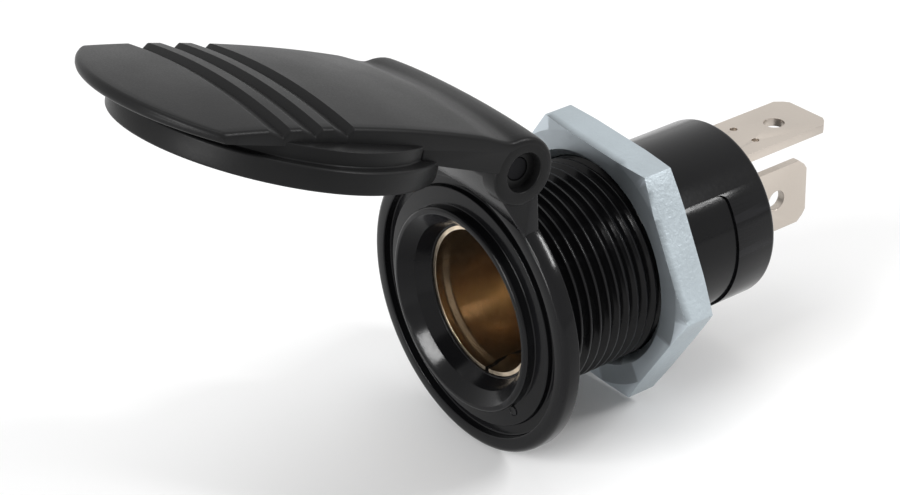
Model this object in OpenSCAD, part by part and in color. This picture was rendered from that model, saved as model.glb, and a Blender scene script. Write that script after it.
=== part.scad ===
// 12 V panel socket with a hinged lid, shown open.
// Millimetres. X across, +Y from the mouth to the rear, +Z up to the hinge.
// The origin is the centre of the flange's back face, where the panel sits.

/* [Bore] */
// bore of the contact sleeve, for a 12 mm plug
bore_d = 12.2; // [12:0.05:12.3]
// sheet thickness of the sleeve
sleeve_t = 0.35; // [0.25:0.05:0.4]
// bore's free depth from the sleeve's rim
bore_depth = 17.4; // [14:0.2:18]

/* [Barrel] */
// wall from the bore to the thread's crests
barrel_wall = 2.9; // [2.6:0.05:3.4]
// thread pitch
thread_pitch = 1; // [0.8:0.05:1.2]
// threaded length
thread_len = 15.5; // [12:0.5:16]
// step from the thread's crests down to the rear body
rear_step = 1.05; // [0.8:0.05:1.3]
// thickness of the plug that closes the rear body
plug_t = 3.75; // [3:0.25:5]

/* [Flange] */
// flange's rim beyond the flats of the nut
flange_over = 1.9; // [1.5:0.1:3]
// flange thickness at the rim
flange_t = 1.5; // [1.2:0.1:2.4]
// widening of the throat from the sleeve to the collar
throat_flare = 1.38; // [1.2:0.02:1.6]
// wall of the raised collar
collar_wall = 0.8; // [0.6:0.1:1.2]
// collar's front edge ahead of the flange's face
collar_rise = 0.93; // [0.5:0.05:1.5]

/* [Nut] */
// wall of the nut at its flats
nut_wall = 2; // [1.5:0.25:4]
// nut thickness
nut_t = 3; // [2:0.25:5]
// thread left free behind the nut
nut_back = 1.5; // [0:0.5:10]

/* [Blades] */
// width of both blades
blade_w = 6.3; // [5.6:0.1:6.4]
// thickness of both blades
blade_t = 0.8; // [0.6:0.05:0.9]
// blade tips behind the rear body
blade_out = 11.3; // [9:0.1:14]

/* [Lid] */
// angle of the lid from closed
lid_open = 109.7; // [95:1:112]
// half width of the lid between its flat sides
lid_half = 9.83; // [9.4:0.1:10.2]
// lid's finger tip beyond the flange's rim
tip_over = 2.85; // [2:0.05:4]
// radius of the round tip, seen from above
tip_round = 14; // [12:0.5:16]
// round skirt inside the flange's rim
lid_inset = 0.26; // [0.1:0.02:0.6]
// height of the lid's crown over the hinge axis
crown = 3.4; // [3:0.1:4]
// bow of the hinge barrel between its ends
barrel_bow = 0.42; // [0.1:0.02:0.6]
// hinge axis above the flange's rim
hinge_rise = 3.97; // [3.8:0.01:4.5]
// hinge pin diameter
pin_d = 2; // [1.4:0.1:2.2]

/* [Hidden] */
$fn = 96;
e = 0.01;
slip = 0.05;
bore_r = bore_d / 2;
crest_r = bore_r + barrel_wall;
thread_d = 2 * crest_r;
root_r = crest_r - 0.61 * thread_pitch;
crest_flat = 0.16 * thread_pitch;
root_flat = 0.14 * thread_pitch;
thread_n = floor(thread_len / thread_pitch);
spigot_len = 1.0;
thread_y = spigot_len;
body_y = thread_y + thread_n * thread_pitch;

nut_af = thread_d + 2 * nut_wall;
nut_y = body_y - nut_back - nut_t;
nut_bore_r = crest_r + 0.06;
nut_turn = -25.25;
nut_sink = 0.35 * nut_wall;
nut_face_r = nut_af / 2 + 0.5;
nut_slope = 0.3;

flange_d = nut_af + 2 * flange_over;
flange_r = flange_d / 2;
rim_round = 0.4 * flange_t;
rim_w = 1.35;
groove_w = 1.0;
groove_out = flange_r - rim_w;
groove_in = groove_out - groove_w;
groove_deep = 0.5 * flange_t;
land_deep = 0.2;

rim_y = -0.1;
mouth_r = bore_r + 0.2;
mouth_y = rim_y + 1.0;
taper_y = mouth_y + 0.35;
head_h = 1.2;
bush_t = 1.4;
bush_y = rim_y + bore_depth + head_h;
base_y = bush_y + bush_t;
nip = 0.5;
nip_y = rim_y + bore_depth - 0.2;
base_lip = 2.6;
base_hole_r = bore_r - base_lip;
sleeve_r = bore_r + sleeve_t;
seat_r = mouth_r + sleeve_t + slip;
seat_y = rim_y - 0.15;
throat_r = seat_r + 0.12;
collar_r = throat_r + throat_flare;
collar_front = flange_t + collar_rise;
collar_round = 0.3;
throat_lip = 0.25;
barrel_r = sleeve_r + slip;
shell_y = base_y + sleeve_t - slip;
seam_w = 0.9;
seam_x = 0.5;
tongue_w = 2.4;
tongue_y0 = taper_y + 2.15;
tongue_y1 = tongue_y0 + 6.1;
tongue_cut = 0.4;
tongue_turns = [-60, 120];

bush_r = bore_r - nip - slip;
neck_r = base_hole_r - slip;
neck_y = base_y + sleeve_t + 0.75;
head_r = 2.3;
dome_r = 4.2;
shank_r = 1.5;
hole_slip = 0.03;
tail_reach = 2.7;
tail_fork = 1.3;
tail_slip = 0.02;
tail_slot_y = base_y + tail_reach;
tail_y = tail_slot_y + tail_fork;

washer_t = 0.8;
washer_y = base_y + sleeve_t + blade_t;
plug_gap = 0.1;
plug_y = washer_y + washer_t + plug_gap;
plug_end = plug_y + plug_t;
plug_sunk = 0.3;
rear_y = plug_end + plug_sunk;
rear_r = crest_r - rear_step;
rear_round = 0.45;
rear_wall = 0.8;
shell_r = rear_r - rear_wall;
washer_r = shell_r - 0.1;
plug_r = shell_r - 0.02;
slot_slip = 0.05;

recess_deep = 0.3;
recess_y0 = body_y + 0.9;
recess_y1 = rear_y - 4.5;
recess_top = 40;
recess_span = 120;

tip_y = rear_y + blade_out;
upper_z = shell_r - 2.15;
foot_drop = 1.1;
lower_z = -2.0;
lower_root_y = tail_y + 0.2;
tip_chamfer = 1.0;
side_chamfer = 0.55;
tip_nose = 0.5;
blade_hole_r = 0.95;
upper_hole_y = tip_y - 4;
lower_hole_y = tip_y - 3.7;
pip_x = 1.4;
pip_y = rear_y + 3.7;
pip_r = 0.35;
pip_deep = 0.3;

boss_r = pin_d / 2 + 1.78;
boss_hole_r = pin_d / 2 + 0.63;
boss_hole_deep = 0.9;
knuckle_r = pin_d / 2 + 1.1;
lid_slip = 0.22;
skin_r = knuckle_r + lid_slip;
lid_run = 0.05;
hinge_y = -boss_r - 0.07;
hinge_z = flange_r + hinge_rise;
ear_gap = 0.2;
lug_half = lid_half - 1.83;
lug_foot = 4;
lug_waist = [3.2, 0.65];
lug_brow = [0.78, 1.95];
relief = [0.13, 0.24];
relief_waist = 0.3;
neck_front = flange_r + 0.15;
cheek_run = hinge_z - 8.17;
ear_in = lug_half + ear_gap;
pin_len = 2 * (lid_half - boss_hole_deep) - 0.1;

lid_tip_r = flange_r + tip_over;
tip_centre = hinge_z + lid_tip_r - tip_round;
bow_steps = 4;
bow_flat = 170;
skirt_r = flange_r - lid_inset;
skirt_low = hinge_y + flange_t + 0.13;
skirt_top = skirt_low + 1.97;
skirt_in = skirt_r - 1.34;
step_r = skirt_r - 0.99;
step_round = 0.35;
panel_low = skirt_top + 0.45;
ceiling = hinge_y + collar_front + 0.32;
core_r = collar_r - 1;
core_top = panel_low + 0.3;
crown_r = 130;
edge_cut = 0.3;
valley_r = 2.2;
valley_wall = 0.72;
valley_at = boss_r - 0.38;
relief_fall = (lug_brow[1] + relief[1] - lug_waist[1] - relief_waist)
    / (lug_waist[0] - lug_brow[0] - relief[0]);
valley_floor = lug_waist[1] + relief_waist + (lug_waist[0] - valley_at) * relief_fall + valley_wall;
side_edge = sqrt(crown_r * crown_r - lid_half * lid_half);
tip_edge = crown - crown_r + sqrt(crown_r * crown_r - lid_tip_r * lid_tip_r);
groove_0 = hinge_z + 0.88;
groove_pitch = 2.8;
groove_steep = 0.45;
groove_gentle = 1.36;
groove_depth = 0.55;
groove_n = 3;
over = 0.5;

BLACK = [0.07, 0.07, 0.075];
LID_BLACK = [0.1, 0.1, 0.1];
NICKEL = [0.72, 0.66, 0.56];
TIN = [0.8, 0.75, 0.7];
ZINC = [0.72, 0.76, 0.8];
BRASS = [0.75, 0.6, 0.3];
STEEL = [0.35, 0.35, 0.37];
FIBRE = [0.35, 0.22, 0.12];

// Local Z of a turned shape becomes the socket's Y; local -Y becomes Z.
module along_y() {
    rotate([-90, 0, 0]) children();
}

// Lid shapes: local Y runs from the hinge to the tip, local Z out of the lid.
module as_lid() {
    translate([0, hinge_y, hinge_z])
        rotate([90 - lid_open, 0, 0])
            rotate([0, 0, 180]) children();
}

// A flat outline in the YZ plane, thickened along X about x = 0.
module plate_x(half) {
    rotate([90, 0, 90])
        translate([0, 0, -half])
            linear_extrude(height = 2 * half) children();
}

// Section of the flange and collar, radius first.
module flange_section() {
    front = -flange_t;
    difference() {
        union() {
            translate([root_r - 2, front]) square([flange_r - rim_round - root_r + 2, flange_t]);
            translate([root_r - 2, front + rim_round]) square([flange_r - root_r + 2, flange_t - rim_round]);
            translate([flange_r - rim_round, front + rim_round]) circle(r = rim_round);
            translate([collar_r - 0.5, -collar_front + collar_round])
                square([collar_wall + 0.5, collar_front - collar_round]);
            translate([collar_r - 0.5, -collar_front])
                square([collar_wall + 0.5 - collar_round, collar_front]);
            translate([collar_r + collar_wall - collar_round, -collar_front + collar_round])
                circle(r = collar_round);
        }
        translate([groove_in, front - 1]) square([groove_out - groove_in, 1 + groove_deep]);
        translate([collar_r + collar_wall, front - 1])
            square([groove_in - collar_r - collar_wall + e, 1 + land_deep]);
    }
}

// Ridges of the thread as one turned section.
module thread_section() {
    side = (thread_pitch - crest_flat - root_flat) / 2;
    points = [
        for (i = [0 : thread_n - 1])
            for (p = [
                [root_r, root_flat / 2],
                [crest_r, root_flat / 2 + side],
                [crest_r, root_flat / 2 + side + crest_flat],
                [root_r, thread_pitch - root_flat / 2]
            ])
                [p[0], thread_y + i * thread_pitch + p[1]]
    ];
    polygon(concat(
        [[barrel_r + 0.5, thread_y]], [[root_r, thread_y]], points,
        [[root_r, thread_y + thread_n * thread_pitch]],
        [[barrel_r + 0.5, thread_y + thread_n * thread_pitch]]
    ));
}

module hinge_lug() {
    front_y = -flange_t;
    shoulder = tan(90 - lid_open - 1);
    difference() {
        union() {
            plate_x(lug_half)
                translate([hinge_y, hinge_z])
                    polygon([
                        [-hinge_y + front_y - 0.1, -hinge_rise - lug_foot],
                        [-hinge_y + front_y - 0.1, -hinge_rise - 2.73],
                        [-lug_waist[1], -lug_waist[0]],
                        [-lug_brow[1], -lug_brow[0]],
                        [0, 0],
                        [-hinge_y, shoulder * -hinge_y],
                        [-hinge_y, -hinge_rise - lug_foot]
                    ]);
            translate([-lug_half, hinge_y, hinge_z])
                rotate([0, 90, 0]) cylinder(r = knuckle_r, h = 2 * lug_half);
        }
        translate([0, front_y, 0])
            rotate([90, 0, 0]) cylinder(r = neck_front, h = 10);
        translate([0, -1, 0])
            along_y() cylinder(r = flange_r - 1.5, h = 3);
        translate([-lug_half - 1, hinge_y, hinge_z])
            rotate([0, 90, 0]) cylinder(r = pin_d / 2 + hole_slip, h = 2 * lug_half + 2);
    }
}

// Shallow recess on the rear body's side.
module side_recess() {
    along_y() rotate([0, 0, -recess_top]) rotate_extrude(angle = recess_span)
        translate([rear_r - recess_deep, recess_y0]) square([1, recess_y1 - recess_y0]);
}

module housing() {
    color(BLACK) difference() {
        union() {
            along_y() rotate_extrude() flange_section();
            along_y() rotate_extrude() thread_section();
            along_y() cylinder(r = crest_r, h = spigot_len + e);
            along_y() rotate_extrude() union() {
                translate([barrel_r + 0.2, body_y - e])
                    square([rear_r - barrel_r - 0.2, rear_y - rear_round - body_y + e]);
                translate([barrel_r + 0.2, body_y - e])
                    square([rear_r - rear_round - barrel_r - 0.2, rear_y - body_y + e]);
                translate([rear_r - rear_round, rear_y - rear_round]) circle(r = rear_round);
            }
            hinge_lug();
        }
        along_y() rotate_extrude() polygon([
            [0, -collar_front - 1],
            [collar_r + throat_lip, -collar_front - 1],
            [collar_r + throat_lip, -collar_front - e],
            [collar_r, -collar_front + throat_lip],
            [throat_r, seat_y],
            [seat_r, seat_y],
            [seat_r, mouth_y],
            [barrel_r, taper_y],
            [barrel_r, shell_y],
            [shell_r, shell_y],
            [shell_r, rear_y + 1],
            [0, rear_y + 1]
        ]);
        side_recess();
    }
}

module contact_sleeve() {
    color(NICKEL) difference() {
        along_y() rotate_extrude() polygon([
            [mouth_r, rim_y],
            [mouth_r + sleeve_t, rim_y],
            [mouth_r + sleeve_t, mouth_y],
            [sleeve_r, taper_y],
            [sleeve_r, nip_y],
            [sleeve_r - nip, nip_y + nip],
            [sleeve_r - nip, base_y + sleeve_t],
            [base_hole_r, base_y + sleeve_t],
            [base_hole_r, base_y],
            [bore_r - nip, base_y],
            [bore_r - nip, nip_y + nip],
            [bore_r, nip_y],
            [bore_r, taper_y],
            [mouth_r, mouth_y]
        ]);
        translate([seam_x - seam_w / 2, rim_y - 1, -sleeve_r - 1])
            cube([seam_w, base_y - rim_y, 3]);
        for (turn = tongue_turns)
            rotate([0, turn, 0]) tongue_cuts();
    }
}

// A slot on each side and at the free end leaves a spring tongue.
module tongue_cuts() {
    wide = tongue_w + 2 * tongue_cut;
    for (side = [-wide / 2, tongue_w / 2])
        translate([side, tongue_y0, -sleeve_r - 1]) cube([tongue_cut, tongue_y1 - tongue_y0, 3]);
    translate([-wide / 2, tongue_y0, -sleeve_r - 1]) cube([wide, tongue_cut, 3]);
}

module insulating_bush() {
    color(FIBRE) along_y() difference() {
        union() {
            translate([0, 0, bush_y]) cylinder(r = bush_r, h = base_y - bush_y);
            translate([0, 0, base_y - e]) cylinder(r = neck_r, h = neck_y - base_y + e);
        }
        translate([0, 0, bush_y - 1]) cylinder(r = shank_r + hole_slip, h = neck_y - bush_y + 2);
    }
}

module centre_contact() {
    color(BRASS) difference() {
        along_y() union() {
            intersection() {
                translate([0, 0, bush_y - head_h]) cylinder(r = head_r, h = head_h);
                translate([0, 0, bush_y - head_h + dome_r]) sphere(r = dome_r);
            }
            translate([0, 0, bush_y - e]) cylinder(r = shank_r, h = tail_y - bush_y + e);
        }
        translate([-blade_t / 2 - tail_slip, tail_slot_y, -shank_r - over])
            cube([blade_t + 2 * tail_slip, tail_fork + over, 2 * shank_r + 2 * over]);
    }
}

// Outline of a blade in its own plane: x across, y to the tip.
module blade_outline(root) {
    half = blade_w / 2;
    polygon([
        [-half, root],
        [-half, tip_y - tip_chamfer],
        [-half + side_chamfer, tip_y - tip_chamfer / 3],
        [-half + side_chamfer + tip_nose, tip_y],
        [half - side_chamfer - tip_nose, tip_y],
        [half - side_chamfer, tip_y - tip_chamfer / 3],
        [half, tip_y - tip_chamfer],
        [half, root]
    ]);
}

module upper_terminal() {
    root = base_y + sleeve_t;
    color(TIN) difference() {
        union() {
            translate([0, 0, upper_z]) linear_extrude(height = blade_t) blade_outline(root);
            translate([-blade_w / 2, root, upper_z - foot_drop])
                cube([blade_w, blade_t, foot_drop + e]);
        }
        translate([0, upper_hole_y, upper_z - 1]) cylinder(r = blade_hole_r, h = blade_t + 2);
        for (side = [-pip_x, pip_x])
            translate([side, pip_y, upper_z + blade_t - pip_deep]) cylinder(r = pip_r, h = 1);
    }
}

module lower_terminal() {
    color(TIN) difference() {
        union() {
            translate([-blade_t / 2, 0, lower_z])
                rotate([0, 90, 0]) linear_extrude(height = blade_t) blade_outline(lower_root_y);
            translate([-blade_t / 2, tail_slot_y + 0.1, -shank_r])
                cube([blade_t, lower_root_y - tail_slot_y, 2 * shank_r - 0.5]);
        }
        translate([-blade_t, lower_hole_y, lower_z])
            rotate([0, 90, 0]) cylinder(r = blade_hole_r, h = 2 * blade_t);
    }
}

module rear_washer() {
    color(FIBRE) difference() {
        along_y() translate([0, 0, washer_y]) cylinder(r = washer_r, h = washer_t);
        along_y() translate([0, 0, washer_y - 1]) cylinder(r = shank_r + 0.1, h = washer_t + 2);
        translate([-blade_w / 2 - 0.1, washer_y - 1, upper_z - 0.1])
            cube([blade_w + 0.2, washer_t + 2, 6]);
    }
}

module rear_plug() {
    color(BLACK) difference() {
        along_y() translate([0, 0, plug_y]) cylinder(r = plug_r, h = plug_end - plug_y);
        along_y() translate([0, 0, plug_y - 1]) cylinder(r = shank_r + 0.1, h = tail_y - plug_y + 1.1);
        translate([-blade_w / 2 - slot_slip, plug_y - 1, upper_z - slot_slip])
            cube([blade_w + 2 * slot_slip, plug_end - plug_y + 2, blade_t + 2 * slot_slip]);
        translate([-blade_t / 2 - slot_slip, plug_y - 1, lower_z - blade_w / 2 - slot_slip])
            cube([blade_t + 2 * slot_slip, plug_end - plug_y + 2, blade_w + 2 * slot_slip]);
    }
}

module hex_nut() {
    corner_r = nut_af / 2 / cos(30);
    color(ZINC) translate([0, nut_y, 0]) along_y() difference() {
        intersection() {
            rotate([0, 0, -90 + nut_turn]) cylinder(r = corner_r, h = nut_t, $fn = 6);
            rotate_extrude() polygon([
                [0, 0],
                [nut_face_r, 0],
                [nut_face_r + 2, 2 * nut_slope],
                [nut_face_r + 2, nut_t - 2 * nut_slope],
                [nut_face_r, nut_t],
                [0, nut_t]
            ]);
        }
        translate([0, 0, -1]) cylinder(r = nut_bore_r, h = nut_t + 2);
        translate([0, 0, -e]) cylinder(r1 = nut_bore_r + nut_sink, r2 = nut_bore_r, h = nut_sink);
        translate([0, 0, nut_t - nut_sink + e])
            cylinder(r1 = nut_bore_r, r2 = nut_bore_r + nut_sink, h = nut_sink);
    }
}

// The lid's top panel: round tip, two flat sides and a crowned top.
module lid_panel() {
    tall = crown + 2;
    intersection() {
        translate([0, hinge_z, crown - crown_r]) sphere(r = crown_r, $fn = 256);
        translate([0, hinge_z, crown - crown_r]) rotate([0, 90, 0]) rotate_extrude($fn = 256) polygon([
            [crown_r / 2, -lid_half],
            [side_edge - edge_cut, -lid_half],
            [side_edge - edge_cut + 2, -lid_half + 2],
            [side_edge - edge_cut + 2, lid_half - 2],
            [side_edge - edge_cut, lid_half],
            [crown_r / 2, lid_half]
        ]);
        union() {
            translate([0, tip_centre, 0]) rotate_extrude() polygon([
                [0, panel_low],
                [tip_round, panel_low],
                [tip_round, tip_edge - edge_cut],
                [tip_round - 2, tip_edge - edge_cut + 2],
                [tip_round - 2, tall],
                [0, tall]
            ]);
            translate([-lid_half, 0, panel_low]) cube([2 * lid_half, tip_centre, tall - panel_low]);
        }
    }
}

module lid_skirt() {
    translate([0, hinge_z, 0]) rotate_extrude() union() {
        translate([0, skirt_low]) square([skirt_r, skirt_top - skirt_low]);
        translate([0, skirt_top - e]) square([step_r, panel_low - step_round - skirt_top + e]);
        translate([0, skirt_top - e]) square([step_r - step_round, panel_low - skirt_top + e]);
        translate([step_r - step_round, panel_low - step_round]) circle(r = step_round);
    }
}

// Side cheeks that carry the lid to the hinge, outline in Y and Z.
module lid_cheeks() {
    for (side = [-1, 1])
        translate([side * (ear_in + lid_half) / 2, 0, 0])
            plate_x((lid_half - ear_in) / 2) polygon([
                [0, 0],
                [boss_r, -0.17],
                [cheek_run, 0.45],
                [cheek_run + 0.9, 0.9],
                [cheek_run + 0.9, panel_low + 0.8],
                [0, panel_low + 0.8]
            ]);
}

// Hinge barrel: round at its ends, bowed between them, and flat where it would meet the panel.
module lid_barrel() {
    bow = [for (i = [-bow_steps : bow_steps]) i / bow_steps];
    rotate([0, 90, 0]) translate([0, 0, -lid_half]) cylinder(r = boss_r, h = 2 * lid_half);
    difference() {
        rotate([0, 90, 0]) rotate_extrude() polygon(concat(
            [[0, -ear_in]],
            [for (s = bow) [boss_r - e + (barrel_bow + e) * (1 - s * s), s * ear_in]],
            [[0, ear_in]]
        ));
        rotate([bow_flat, 0, 0]) translate([-lid_half, boss_r, -2 * boss_r])
            cube([2 * lid_half, boss_r, 4 * boss_r]);
    }
}

// Shallow valley across the top, between the hinge barrel and the crown.
module lid_valley() {
    translate([-lid_half - over, valley_at, valley_floor + valley_r])
        rotate([0, 90, 0]) cylinder(r = valley_r, h = 2 * (lid_half + over));
}

// Each groove falls gently and rises steeply, and follows the crown across.
module lid_grooves() {
    for (i = [0 : groove_n - 1]) {
        at = groove_0 + i * groove_pitch;
        away = at - hinge_z;
        level = crown_r - away * away / (2 * crown_r);
        translate([0, 0, crown - crown_r]) rotate([-90, 0, 0]) rotate_extrude($fn = 256) polygon([
            [level + over, at - groove_steep * (1 + over / groove_depth)],
            [level - groove_depth, at],
            [level + over, at + groove_gentle * (1 + over / groove_depth)]
        ]);
    }
}

module lid() {
    color(LID_BLACK) as_lid() difference() {
        union() {
            lid_panel();
            lid_skirt();
            lid_cheeks();
            lid_barrel();
        }
        lid_grooves();
        lid_valley();
        translate([0, hinge_z, skirt_low - 1]) cylinder(r = skirt_in, h = ceiling - skirt_low + 1);
        translate([0, hinge_z, skirt_low - 1]) cylinder(r = core_r, h = core_top - skirt_low + 1);
        translate([-ear_in, 0, 0]) rotate([0, 90, 0]) cylinder(r = skin_r, h = 2 * ear_in);
        plate_x(ear_in) polygon([
            [0, 0],
            [-boss_r - 1, 0],
            [-boss_r - 1, -4],
            [lug_waist[0] + 0.5, -4],
            [lug_waist[0] + 0.5, lug_waist[1] + relief_waist],
            [lug_waist[0], lug_waist[1] + relief_waist],
            [lug_brow[0] + relief[0], lug_brow[1] + relief[1]],
            [0, lug_brow[1] + relief[1]]
        ]);
        translate([-lid_half - 1, 0, 0])
            rotate([0, 90, 0]) cylinder(r = pin_d / 2 + lid_run, h = 2 * lid_half + 2);
        for (start = [-lid_half - 1, lid_half - boss_hole_deep])
            translate([start, 0, 0])
                rotate([0, 90, 0]) cylinder(r = boss_hole_r, h = boss_hole_deep + 1);
    }
}

module hinge_pin() {
    color(STEEL) translate([-pin_len / 2, hinge_y, hinge_z])
        rotate([0, 90, 0]) cylinder(r = pin_d / 2, h = pin_len);
}

housing();
contact_sleeve();
insulating_bush();
centre_contact();
upper_terminal();
lower_terminal();
rear_washer();
rear_plug();
hex_nut();
lid();
hinge_pin();
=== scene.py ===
"""A 12 V panel socket with a hinged lid, dressed for one studio picture.

Lengths in the classes are millimetres, and the meshes are metres in the model's own frame:
X across, +Y from the mouth to the blades, +Z up to the lid's hinge.
"""

import logging
import math
from dataclasses import dataclass, field
from enum import Enum
from typing import Callable, Iterable, Sequence

import bmesh
import bpy
from mathutils import Matrix, Vector


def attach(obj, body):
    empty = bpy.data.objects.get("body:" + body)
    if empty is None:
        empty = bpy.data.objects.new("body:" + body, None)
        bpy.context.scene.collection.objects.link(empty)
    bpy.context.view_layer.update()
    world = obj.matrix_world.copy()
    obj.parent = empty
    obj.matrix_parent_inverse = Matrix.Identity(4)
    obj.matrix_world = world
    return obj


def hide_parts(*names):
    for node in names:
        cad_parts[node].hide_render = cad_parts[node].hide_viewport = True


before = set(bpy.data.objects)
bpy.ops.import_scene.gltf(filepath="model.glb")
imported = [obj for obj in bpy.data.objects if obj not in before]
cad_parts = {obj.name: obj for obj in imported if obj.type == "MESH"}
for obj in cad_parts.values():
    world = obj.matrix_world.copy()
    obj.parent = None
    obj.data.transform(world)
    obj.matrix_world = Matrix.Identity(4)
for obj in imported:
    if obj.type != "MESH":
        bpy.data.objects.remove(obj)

LOG = logging.getLogger("socket")
MM = 0.001
Point = tuple[float, float]
Corner = tuple[float, float, float]
Colour = tuple[float, float, float]
Place = tuple[float, float, float]
# Y and Z of the hinge axis, from the flange's back face and the barrel's axis.
HINGE: Point = (-2.85, 16.87)


class Body(Enum):
    """The rigid bodies that a piece can ride on."""

    SOCKET = "socket"
    COVER = "cover"
    NUT = "nut"


class Axis(Enum):
    """The axes that a section is turned about."""

    BARREL = (0.0, 1.0, 0.0)
    LID = (0.0, 0.0, 1.0)


@dataclass(frozen=True)
class Grain:
    """Fine texture of a finish.

    Args:
        size: Width of one grain in millimetres.
        height: Height of the bump in millimetres.
        rough: How far the roughness wanders.
        tint: How far the colour wanders.
    """

    size: float
    height: float
    rough: float
    tint: float


@dataclass(frozen=True)
class Finish:
    """One surface finish and the record's material slot that it belongs to."""

    name: str
    slot: str
    colour: Colour
    metallic: float
    roughness: float
    grain: Grain
    # edge: how far pointy edges are lightened, partly as wear and partly as a painted edge highlight.
    edge: float = 0.0
    specular: float = 0.5
    brushed: float = 0.0

    def material(self, groups: "Effects") -> bpy.types.Material:
        """Build the node material once and hand it out again after that.

        Args:
            groups: The shared node groups.

        Returns:
            The finished material.
        """
        made = bpy.data.materials.get(self.name)
        if made is not None:
            return made
        mat = bpy.data.materials.new(self.name)
        mat.use_nodes = True
        mat.diffuse_color = (*self.colour, 1.0)
        nodes, links = mat.node_tree.nodes, mat.node_tree.links
        shader = nodes["Principled BSDF"]
        shader.inputs["Metallic"].default_value = self.metallic
        shader.inputs["Specular IOR Level"].default_value = self.specular
        shader.inputs["Anisotropic"].default_value = self.brushed
        place = nodes.new("ShaderNodeTexCoord")
        skin = nodes.new("ShaderNodeGroup")
        skin.node_tree = groups.skin
        for key, value in {
            "Size": self.grain.size,
            "Base": (*self.colour, 1.0),
            "Tint": self.grain.tint,
            "Roughness": self.roughness,
            "Wander": self.grain.rough,
            "WearAndHighlight": self.edge,
        }.items():
            skin.inputs[key].default_value = value
        bump = nodes.new("ShaderNodeBump")
        bump.inputs["Strength"].default_value = 1.0
        bump.inputs["Distance"].default_value = self.grain.height * MM
        links.new(place.outputs["Object"], skin.inputs["Vector"])
        links.new(skin.outputs["Colour"], shader.inputs["Base Color"])
        links.new(skin.outputs["Roughness"], shader.inputs["Roughness"])
        links.new(skin.outputs["Height"], bump.inputs["Height"])
        links.new(bump.outputs["Normal"], shader.inputs["Normal"])
        return mat


class Effects:
    """Node groups that several finishes share."""

    slow_scale = 160.0
    wear_highlight_from = 0.52
    wear_highlight_to = 0.62

    def __init__(self) -> None:
        """Build the groups."""
        self.skin = self._skin()

    @staticmethod
    def _sockets(tree: bpy.types.NodeTree, way: str, names: dict[str, str]) -> None:
        """Add named sockets to a group.

        Args:
            tree: The group's tree.
            way: INPUT or OUTPUT.
            names: Socket name to socket type.
        """
        for name, kind in names.items():
            tree.interface.new_socket(name=name, in_out=way, socket_type=kind)

    def _skin(self) -> bpy.types.NodeTree:
        """Grain, slow colour drift and lightened edges for any finish; the edges are partly wear and
        partly a painted edge highlight.

        Returns:
            The group's tree.
        """
        tree = bpy.data.node_groups.new("surface_skin", "ShaderNodeTree")
        number = "NodeSocketFloat"
        self._sockets(tree, "INPUT", {
            "Vector": "NodeSocketVector", "Size": number, "Base": "NodeSocketColor",
            "Tint": number, "Roughness": number, "Wander": number, "WearAndHighlight": number,
        })
        self._sockets(tree, "OUTPUT", {
            "Colour": "NodeSocketColor", "Roughness": number, "Height": number,
        })
        add, link = tree.nodes.new, tree.links.new
        source, result = add("NodeGroupInput"), add("NodeGroupOutput")

        def maths(kind: str, first: object, second: object) -> bpy.types.NodeSocket:
            """Add a Math node and return its output."""
            node = add("ShaderNodeMath")
            node.operation = kind
            for slot, value in enumerate((first, second)):
                if isinstance(value, bpy.types.NodeSocket):
                    link(value, node.inputs[slot])
                else:
                    node.inputs[slot].default_value = float(value)
            return node.outputs[0]

        def noise(scale: object, detail: float) -> bpy.types.NodeSocket:
            """Add a noise texture and return its value."""
            node = add("ShaderNodeTexNoise")
            node.inputs["Detail"].default_value = detail
            node.inputs["Roughness"].default_value = 0.55
            link(source.outputs["Vector"], node.inputs["Vector"])
            if isinstance(scale, bpy.types.NodeSocket):
                link(scale, node.inputs["Scale"])
            else:
                node.inputs["Scale"].default_value = float(scale)
            return node.outputs["Fac"]

        fine = noise(maths("DIVIDE", 1000.0, source.outputs["Size"]), 3.0)
        slow = maths("SUBTRACT", noise(self.slow_scale, 2.0), 0.5)
        # Pointy edges are lightened, partly as wear and partly as a painted highlight where edges
        # catch the light.
        shape = add("ShaderNodeNewGeometry")
        corner = add("ShaderNodeMapRange")
        corner.inputs["From Min"].default_value = self.wear_highlight_from
        corner.inputs["From Max"].default_value = self.wear_highlight_to
        link(shape.outputs["Pointiness"], corner.inputs["Value"])
        wear_and_highlight = maths("MULTIPLY", corner.outputs["Result"], source.outputs["WearAndHighlight"])
        drift = maths("ADD", maths("MULTIPLY", slow, source.outputs["Tint"]), wear_and_highlight)
        light = maths("ADD", drift, 1.0)
        paint = add("ShaderNodeVectorMath")
        paint.operation = "SCALE"
        link(source.outputs["Base"], paint.inputs[0])
        link(light, paint.inputs["Scale"])
        rough = maths("MULTIPLY", maths("SUBTRACT", fine, 0.5), source.outputs["Wander"])
        slow_rough = maths("MULTIPLY", slow, source.outputs["Wander"])
        total = maths("ADD", maths("ADD", source.outputs["Roughness"], rough), slow_rough)
        link(paint.outputs[0], result.inputs["Colour"])
        link(total, result.inputs["Roughness"])
        link(fine, result.inputs["Height"])
        return tree


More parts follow.
